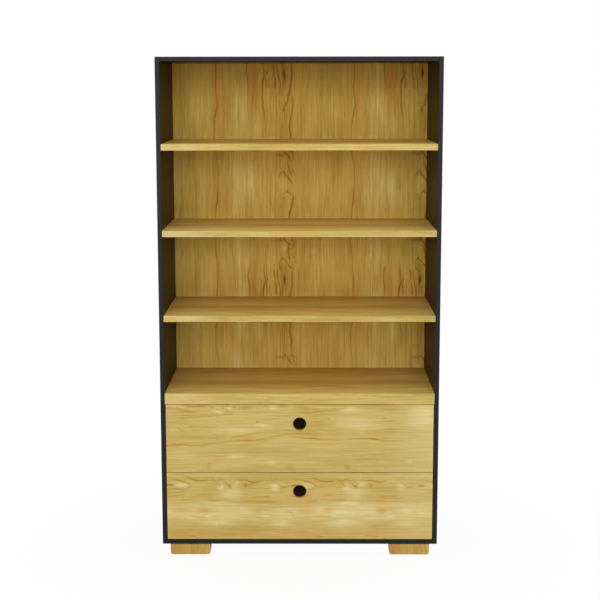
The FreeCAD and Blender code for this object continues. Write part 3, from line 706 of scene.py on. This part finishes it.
def finish_shelf(name, start, tint_and_shade, lip_lightness):
    """Timber whose grain runs from side to side, with painted shade in bands across its top, darker towards
    the back, and a paler lipping along the front edge.
    """
    material, finish = new_finish(name)
    x, y, z = finish.place()
    surface = honey_timber(finish, y + z * SHELF_EDGE_TURN + start, x, z, SHADED_WOOD)
    waver = finish.noise(finish.point(x, y, start), WAVER_SWELLS, detail=3.0, roughness=0.6) - 0.5
    shade_bands = finish.ramp((BACK_FACE - y) / (BACK_FACE - SHELF_FRONT) + waver * WAVER_WIDTH, SHELF_SHADE_BANDS)
    shade_bands = finish.vector("MULTIPLY", shade_bands, tuple(part * scale for part, scale in zip(SHADE_BAND_SCALE, tint_and_shade)))
    top = finish.vector("MULTIPLY", surface[0], shade_bands)
    bleached = finish.vector("MULTIPLY", surface[0], tuple(part * lip_lightness for part in LIPPING_TINT))
    left_end = finish.step(x, LIPPING_END_START, LIPPING_END) * LIPPING_END_PALENESS
    bleached = finish.mix(left_end, bleached, FRONT_WOOD["pale"])
    blush = finish.step(finish.noise(finish.point(x, start, z), BLUSH_SWELLS), *BLUSH_RANGE)
    bleached = finish.mix(blush * BLUSH_SHARE, bleached, FRONT_WOOD["warm"])
    colour = finish.mix(finish.step(y, LIPPING_BACK, LIPPING_FRONT), top, bleached)
    finish.cover(colour, *surface[1:], Specular_IOR_Level=TIMBER_GLOSS)
    return material


def finish_foot():
    """Upright grain in each block, browner over its left third."""
    material, finish = new_finish("honey_foot_block")
    x, y, z = finish.place()
    surface = honey_timber(finish, x + y * FOOT_GRAIN_TURN, z, y, FOOT_WOOD)
    across_foot = finish.sum("FRACT", (x - FOOT_LEFT) / FOOT_PITCH) * FOOT_PITCH
    left_third = finish.step(across_foot, FOOT_BROWN_END, FOOT_BROWN_FADE) * FOOT_BROWN_SHARE
    colour = finish.mix(left_third, surface[0], FOOT_WOOD["warm"])
    from_line = finish.sum("PINGPONG", x + (surface[2] - 0.5) * FOOT_LINE_PITCH, FOOT_LINE_PITCH)
    line = finish.step(from_line, *FOOT_LINE_EDGES) * FOOT_LINE_SHARE
    colour = finish.mix(line, colour, FOOT_WOOD["brown"])
    finish.cover(colour, *surface[1:], Specular_IOR_Level=TIMBER_GLOSS)
    return material


# ---- Charcoal faced board -------------------------------------------------------------------------
# The inside colour is the board with warm light bounced from the wood painted in.
CHARCOAL = {
    "dark": (0.0100, 0.0102, 0.0107),
    "light": (0.0137, 0.0142, 0.0149),
    "inside": (0.0118, 0.0066, 0.0015),
}
# The top and bottom boards are the same board made darker, as painted shade.
LEVEL_BOARD_SHADE = 0.88
# Swells to the metre of each noise, here and below: across the grain, along it and through it.
CHARCOAL_SWELLS = {"cloud": (7.0, 2.0, 7.0), "fibre": (500.0, 14.0, 500.0), "pore": (1100.0, 60.0, 1100.0)}
CHARCOAL_PORES = (0.60, 0.72)
# The painted warm bounce light on the inside faces fades out behind each face of the opening, between these
# depths.
INSIDE_START = 0.0008
INSIDE_END = 0.0004


def finish_charcoal(name, grain_axis, shade_lightness=1.0):
    """Board with a fine grain along one axis, browner on the faces that look into the case, where warm light
    bounced from the wood is painted in; a lightness under 1 darkens it all over as painted shade.
    """
    material, finish = new_finish(name)
    place = finish.place()
    along, across, depth = grain_first(place, grain_axis)
    grain = finish.point(across, along, depth)
    cloud = finish.noise(grain, CHARCOAL_SWELLS["cloud"])
    fibre = finish.noise(grain, CHARCOAL_SWELLS["fibre"], roughness=0.6)
    pore = finish.step(finish.noise(grain, CHARCOAL_SWELLS["pore"], detail=1.0), *CHARCOAL_PORES)
    colour = finish.mix(cloud, CHARCOAL["dark"], CHARCOAL["light"])
    x, y, z = place
    # Painted warm bounce light on the faces inside the case.
    bounce_light_share = finish.step(
        finish.sum("ABSOLUTE", x), SIDE_INNER_FACE + INSIDE_START, SIDE_INNER_FACE + INSIDE_END
    )
    bounce_light_share = bounce_light_share * finish.step(y, LIPPING_FRONT, LIPPING_BACK)
    bounce_light_share = bounce_light_share * finish.step(z, CEILING + INSIDE_START, CEILING + INSIDE_END)
    bounce_light_share = bounce_light_share * finish.step(z, INNER_FLOOR - INSIDE_START, INNER_FLOOR - INSIDE_END)
    colour = finish.mix(bounce_light_share, colour, CHARCOAL["inside"])
    colour = finish.shaded(colour, (0.92 + fibre * 0.20 - pore * 0.25) * shade_lightness)
    roughness = 0.46 + (fibre - 0.5) * 0.14 + cloud * 0.05
    relief = fibre * 0.5 - pore * 0.6
    finish.cover(colour, roughness, relief, depth=0.00005, Specular_IOR_Level=0.14)
    return material


# ---- Drawer boxes, runners and small parts --------------------------------------------------------
BOX_WOOD = {"dark": (0.56, 0.41, 0.235), "pale": (0.68, 0.53, 0.33), "ring": (0.40, 0.25, 0.115)}
BOX_SWELLS = {"bend": (4.0, 1.0, 4.0), "streak": (60.0, 2.0, 60.0), "fibre": (500.0, 12.0, 500.0)}
BOX_RINGS_TO_METRE = 45.0
BOX_RING_BEND = 3.0
HARDBOARD = {"dark": (0.40, 0.29, 0.165), "pale": (0.60, 0.46, 0.285)}
HARDBOARD_SWELLS = {"fleck": (260.0, 260.0, 260.0), "cloud": (9.0, 9.0, 9.0)}
PLYWOOD = {"face": (0.60, 0.45, 0.27), "end": (0.42, 0.28, 0.14)}
PLYWOOD_FIBRE = (400.0, 30.0, 400.0)
PLY_WAVES = 3900.0
PLY_RANGE = (-0.2, 0.2)
EPOXY = {"clean": (0.76, 0.76, 0.74), "rubbed": (0.58, 0.575, 0.56)}
EPOXY_SWELLS = {"peel": (700.0, 700.0, 700.0), "rub": (900.0, 12.0, 900.0), "cloud": (30.0, 8.0, 30.0)}
RUB_RANGE = (0.55, 0.75)
ACETAL = {"dark": (0.74, 0.73, 0.68), "pale": (0.84, 0.835, 0.79)}
ACETAL_CLOUD = (120.0, 120.0, 120.0)
TURNING_WAVES = 9000.0
BRONZE = {"dark": (0.055, 0.042, 0.031), "light": (0.100, 0.078, 0.058)}
BRONZE_SWELLS = {"brush": (300.0, 2600.0, 2600.0), "cloud": (160.0, 160.0, 160.0)}
FELT = {"dark": (0.075, 0.058, 0.043), "light": (0.17, 0.14, 0.11)}
FELT_SWELLS = {"hair": (1500.0, 1500.0, 1500.0), "cloud": (90.0, 90.0, 90.0)}


def finish_drawer_box(name, grain_axis):
    """Pale plain wood with faint growth rings."""
    material, finish = new_finish(name)
    along, across, depth = grain_first(finish.place(), grain_axis)
    grain = finish.point(across, along, depth)
    bend = (finish.noise(grain, BOX_SWELLS["bend"]) - 0.5) * BOX_RING_BEND
    ring = finish.sum("FRACT", (across + depth) * BOX_RINGS_TO_METRE + bend) ** 4.0
    streak = finish.noise(grain, BOX_SWELLS["streak"], detail=3.0, roughness=0.6)
    fibre = finish.noise(grain, BOX_SWELLS["fibre"], roughness=0.6)
    colour = finish.mix(streak, BOX_WOOD["dark"], BOX_WOOD["pale"])
    colour = finish.mix(ring * 0.28, colour, BOX_WOOD["ring"])
    colour = finish.shaded(colour, 0.94 + fibre * 0.12)
    roughness = 0.48 + fibre * 0.12
    relief = fibre * 0.6 + ring * 0.3
    finish.cover(colour, roughness, relief, depth=0.00008, Specular_IOR_Level=0.35)
    return material


def finish_hardboard():
    material, finish = new_finish("pale_hardboard")
    grain = finish.point(*finish.place())
    fleck = finish.noise(grain, HARDBOARD_SWELLS["fleck"], detail=4.0, roughness=0.7)
    cloud = finish.noise(grain, HARDBOARD_SWELLS["cloud"])
    colour = finish.mix(fleck, HARDBOARD["dark"], HARDBOARD["pale"])
    colour = finish.shaded(colour, 0.92 + cloud * 0.16)
    finish.cover(colour, 0.55 + fleck * 0.1, relief=fleck, depth=0.00006, Specular_IOR_Level=0.3)
    return material


def finish_plywood():
    material, finish = new_finish("birch_plywood")
    x, y, z = finish.place()
    grain = finish.point(x, y, z)
    ply = finish.step(finish.sum("SINE", z * PLY_WAVES), *PLY_RANGE)
    fibre = finish.noise(grain, PLYWOOD_FIBRE, roughness=0.6)
    colour = finish.mix(ply, PLYWOOD["face"], PLYWOOD["end"])
    colour = finish.shaded(colour, 0.9 + fibre * 0.2)
    finish.cover(colour, 0.6 + fibre * 0.1, relief=fibre, depth=0.00006)
    return material


def finish_white_epoxy():
    """Powder coat on folded steel, faintly rubbed where the rollers pass."""
    material, finish = new_finish("white_epoxy_steel")
    grain = finish.point(*finish.place())
    peel = finish.noise(grain, EPOXY_SWELLS["peel"])
    rub = finish.step(finish.noise(grain, EPOXY_SWELLS["rub"], detail=3.0, roughness=0.6), *RUB_RANGE)
    cloud = finish.noise(grain, EPOXY_SWELLS["cloud"])
    colour = finish.mix(rub * 0.35, EPOXY["clean"], EPOXY["rubbed"])
    colour = finish.shaded(colour, 0.96 + cloud * 0.06)
    finish.cover(colour, 0.34 + rub * 0.18, relief=peel, depth=0.00003)
    return material


def finish_acetal():
    material, finish = new_finish("natural_acetal")
    x, y, z = finish.place()
    grain = finish.point(x, y, z)
    turning = finish.sum("SINE", x * TURNING_WAVES) * 0.5 + 0.5
    cloud = finish.noise(grain, ACETAL_CLOUD, detail=3.0)
    colour = finish.mix(cloud, ACETAL["dark"], ACETAL["pale"])
    finish.cover(colour, 0.30 + cloud * 0.12, relief=turning * 0.6 + cloud * 0.4, depth=0.00002)
    return material


def finish_bronzed():
    material, finish = new_finish("bronzed_steel")
    grain = finish.point(*finish.place())
    brush = finish.noise(grain, BRONZE_SWELLS["brush"], roughness=0.6)
    cloud = finish.noise(grain, BRONZE_SWELLS["cloud"], detail=3.0)
    colour = finish.mix(cloud, BRONZE["dark"], BRONZE["light"])
    finish.cover(colour, 0.26 + brush * 0.16, relief=brush, depth=0.00001, Metallic=1.0)
    return material


def finish_felt():
    material, finish = new_finish("brown_felt")
    grain = finish.point(*finish.place())
    hair = finish.noise(grain, FELT_SWELLS["hair"], detail=5.0, roughness=0.75, distortion=1.2)
    cloud = finish.noise(grain, FELT_SWELLS["cloud"], detail=3.0)
    colour = finish.mix(hair, FELT["dark"], FELT["light"])
    colour = finish.shaded(colour, 0.85 + cloud * 0.3)
    finish.cover(colour, 0.95, relief=hair, depth=0.0002, Specular_IOR_Level=0.2)
    return material


# ---- Stage ----------------------------------------------------------------------------------------
def unseen_share(finish):
    """1 where the ray comes from the camera, a mirror or a glass, and 0 for light on the object."""
    camera, glossy, glass = (
        finish.node("ShaderNodeLightPath", output=output)
        for output in ("Is Camera Ray", "Is Glossy Ray", "Is Transmission Ray")
    )
    return finish.sum("MAXIMUM", camera, finish.sum("MAXIMUM", glossy, glass))


def add_world():
    world = bpy.data.worlds.new("white_studio")
    bpy.context.scene.world = world
    world.use_nodes = True
    finish = Finish(world.node_tree)
    strength = unseen_share(finish) * (1.0 - AMBIENT) + AMBIENT
    background = finish.node("ShaderNodeBackground", values={"Color": WHITE, "Strength": strength})
    finish.node("ShaderNodeOutputWorld", values={"Surface": background})


def add_floor():
    bpy.ops.object.select_all(action="DESELECT")
    bpy.ops.mesh.primitive_plane_add(size=FLOOR_SIZE, location=(0, 0, 0))
    floor = bpy.context.object
    floor.name = "studio_floor"
    material, finish = new_finish("pale_studio_floor")
    x, y, z = finish.place()
    distance = finish.sum("SQRT", x * x + y * y)
    glow = finish.step(distance, FLOOR_GLOW_START, FLOOR_GLOW_END, FLOOR_GLOW, 1.0)
    grey = (FLOOR_GREY, FLOOR_GREY, FLOOR_GREY, 1.0)
    matt = finish.node("ShaderNodeBsdfDiffuse", values={"Color": grey})
    white = finish.node("ShaderNodeEmission", values={"Color": WHITE, "Strength": 1.0})
    both = finish.node("ShaderNodeMixShader", values={0: unseen_share(finish) * glow, 1: matt, 2: white})
    finish.node("ShaderNodeOutputMaterial", values={"Surface": both})
    floor.data.materials.append(material)


def add_softboxes():
    for name, place, watts in SOFTBOXES:
        light = bpy.data.lights.new(name, "AREA")
        light.size = SOFTBOX_SIZE
        light.energy = watts
        lamp = bpy.data.objects.new(name, light)
        bpy.context.scene.collection.objects.link(lamp)
        lamp.location = place
        lamp.rotation_euler = (Vector(SOFTBOX_TARGET) - Vector(place)).to_track_quat("-Z", "Y").to_euler()


def add_camera():
    data = bpy.data.cameras.new("viewer")
    data.lens = LENS_MM
    data.sensor_width = SENSOR_MM
    camera = bpy.data.objects.new("viewer", data)
    bpy.context.scene.collection.objects.link(camera)
    ahead = Vector((math.sin(YAW) * math.cos(PITCH), math.cos(YAW) * math.cos(PITCH), -math.sin(PITCH)))
    level = Vector((math.cos(YAW), -math.sin(YAW), 0.0))
    upright = level.cross(ahead)
    right = level * math.cos(ROLL) + upright * math.sin(ROLL)
    up = upright * math.cos(ROLL) - level * math.sin(ROLL)
    turn = Matrix((right, up, -ahead)).transposed()
    camera.matrix_world = Matrix.Translation(EYE) @ turn.to_4x4()
    bpy.context.scene.camera = camera


# ---- Screws and pins ------------------------------------------------------------------------------
def select_only(piece):
    bpy.ops.object.select_all(action="DESELECT")
    piece.select_set(True)
    bpy.context.view_layer.objects.active = piece


def shape(piece, kind, **settings):
    """Gives a piece a modifier with these settings, and applies it."""
    modifier = piece.modifiers.new(kind.lower(), kind)
    for name, setting in settings.items():
        setattr(modifier, name, setting)
    select_only(piece)
    bpy.ops.object.modifier_apply(modifier=modifier.name)


def block(size, place):
    bpy.ops.object.select_all(action="DESELECT")
    bpy.ops.mesh.primitive_cube_add(size=1.0, location=place, scale=size)
    bpy.ops.object.transform_apply(location=True, rotation=True, scale=True)
    return bpy.context.object


def round_head(radius, height, rounding, recess):
    """A head with a rounded rim, standing along +Z from its underside. A recess is a cross cut in its top."""
    bpy.ops.object.select_all(action="DESELECT")
    bpy.ops.mesh.primitive_cylinder_add(
        vertices=HEAD_SIDES, radius=radius, depth=height, location=(0, 0, height / 2)
    )
    bpy.ops.object.transform_apply(location=True, rotation=True, scale=True)
    head = bpy.context.object
    shape(head, "BEVEL", width=rounding, segments=RIM_STEPS, limit_method="ANGLE")
    if recess:
        long, short = radius * CROSS_LENGTH, radius * CROSS_WIDTH
        for wide, deep in ((long, short), (short, long)):
            cutter = block((wide, deep, recess * 2), (0, 0, height))
            shape(head, "BOOLEAN", operation="DIFFERENCE", object=cutter, solver="EXACT")
            bpy.data.objects.remove(cutter)
    select_only(head)
    bpy.ops.object.shade_smooth_by_angle(angle=SMOOTH_ANGLE)
    return head


def set_in(model, name, place, outward, body, material):
    """A copy of a head, standing out from a place on a body."""
    head = bpy.data.objects.new(name, model.data.copy())
    bpy.context.scene.collection.objects.link(head)
    turn = Vector(outward).to_track_quat("Z", "Y").to_matrix().to_4x4()
    head.data.transform(Matrix.Translation(place) @ turn)
    head.data.materials.clear()
    head.data.materials.append(material)
    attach(head, body)


def add_runner_screws(material):
    sunk = round_head(*CASE_SCREW_HEAD)
    raised = round_head(*DRAWER_SCREW_HEAD)
    for drawer, datum in DRAWER_DATUMS.items():
        height = datum + SCREW_HEIGHT
        for side, sign in (("left", -1), ("right", 1)):
            for end, y in zip(("front", "rear"), CASE_SCREW_PLACES):
                name = f"{drawer}_{side}_{end}_case_runner_screw"
                place = (sign * (CASE_WEB_FACE + CASE_SCREW_SUNK), y, height)
                set_in(sunk, name, place, (-sign, 0, 0), "case", material)
            for end, y in zip(("front", "rear"), DRAWER_SCREW_PLACES):
                name = f"{drawer}_{side}_{end}_drawer_runner_screw"
                place = (sign * DRAWER_WEB_FACE, y, height)
                set_in(raised, name, place, (sign, 0, 0), drawer + "_drawer", material)
    bpy.data.objects.remove(sunk)
    bpy.data.objects.remove(raised)


def add_back_pins(material):
    pin = round_head(*PIN_HEAD)
    places = [(sign * PIN_COLUMN, z) for sign in (-1, 1) for z in PIN_COLUMN_HEIGHTS]
    places += [(x, z) for z in PIN_ROW_HEIGHTS for x in PIN_ROW_PLACES]
    for number, (x, z) in enumerate(places, 1):
        place = (x, CASE_REAR + PIN_PROUD - PIN_HEAD[1], z)
        set_in(pin, f"back_pin_{number:02d}", place, (0, 1, 0), "case", material)
    bpy.data.objects.remove(pin)


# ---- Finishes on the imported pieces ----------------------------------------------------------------
def give(names, material):
    for name in names:
        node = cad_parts[name]
        node.data.materials.clear()
        node.data.materials.append(material)


add_camera()
add_world()
add_floor()
add_softboxes()

give(["left_side_panel", "right_side_panel"], finish_charcoal("charcoal_upright", Z_AXIS))
give(["top_panel", "bottom_panel"], finish_charcoal("charcoal_level_shaded", X_AXIS, LEVEL_BOARD_SHADE))
give(["back_panel"], finish_back_sheet())
for shelf, look in SHELF_LOOKS.items():
    give([shelf], finish_shelf("honey_" + shelf, *look))
upper_figure = (UPPER_LINES, UPPER_WARM, UPPER_PALE, UPPER_BROWN)
lower_figure = (LOWER_LINES, LOWER_WARM, LOWER_PALE, LOWER_BROWN)
give(["upper_drawer_front"], finish_drawer_front("honey_upper_front", UPPER_LEAF, upper_figure))
give(["lower_drawer_front"], finish_drawer_front("honey_lower_front", LOWER_LEAF, lower_figure))
give(["front_left_foot", "front_right_foot", "rear_left_foot", "rear_right_foot"], finish_foot())
give(["foot_pads"], finish_felt())
give(["board_splines"], finish_plywood())
bronzed = finish_bronzed()
give(["shelf_pins"], bronzed)

lengthwise = finish_drawer_box("pale_wood_front_to_back", Y_AXIS)
crosswise = finish_drawer_box("pale_wood_side_to_side", X_AXIS)
hardboard = finish_hardboard()
epoxy = finish_white_epoxy()
acetal = finish_acetal()
for drawer in DRAWER_DATUMS:
    give([drawer + "_drawer_left_side", drawer + "_drawer_right_side", drawer + "_drawer_bearer"], lengthwise)
    give([drawer + "_drawer_back"], crosswise)
    give([drawer + "_drawer_bottom"], hardboard)
    for side in ("left", "right"):
        give([f"{drawer}_{side}_drawer_runner", f"{drawer}_{side}_case_runner"], epoxy)
        give([f"{drawer}_{side}_front_roller", f"{drawer}_{side}_rear_roller"], acetal)

add_runner_screws(bronzed)
add_back_pins(bronzed)

bpy.context.scene.view_settings.view_transform = "Standard"
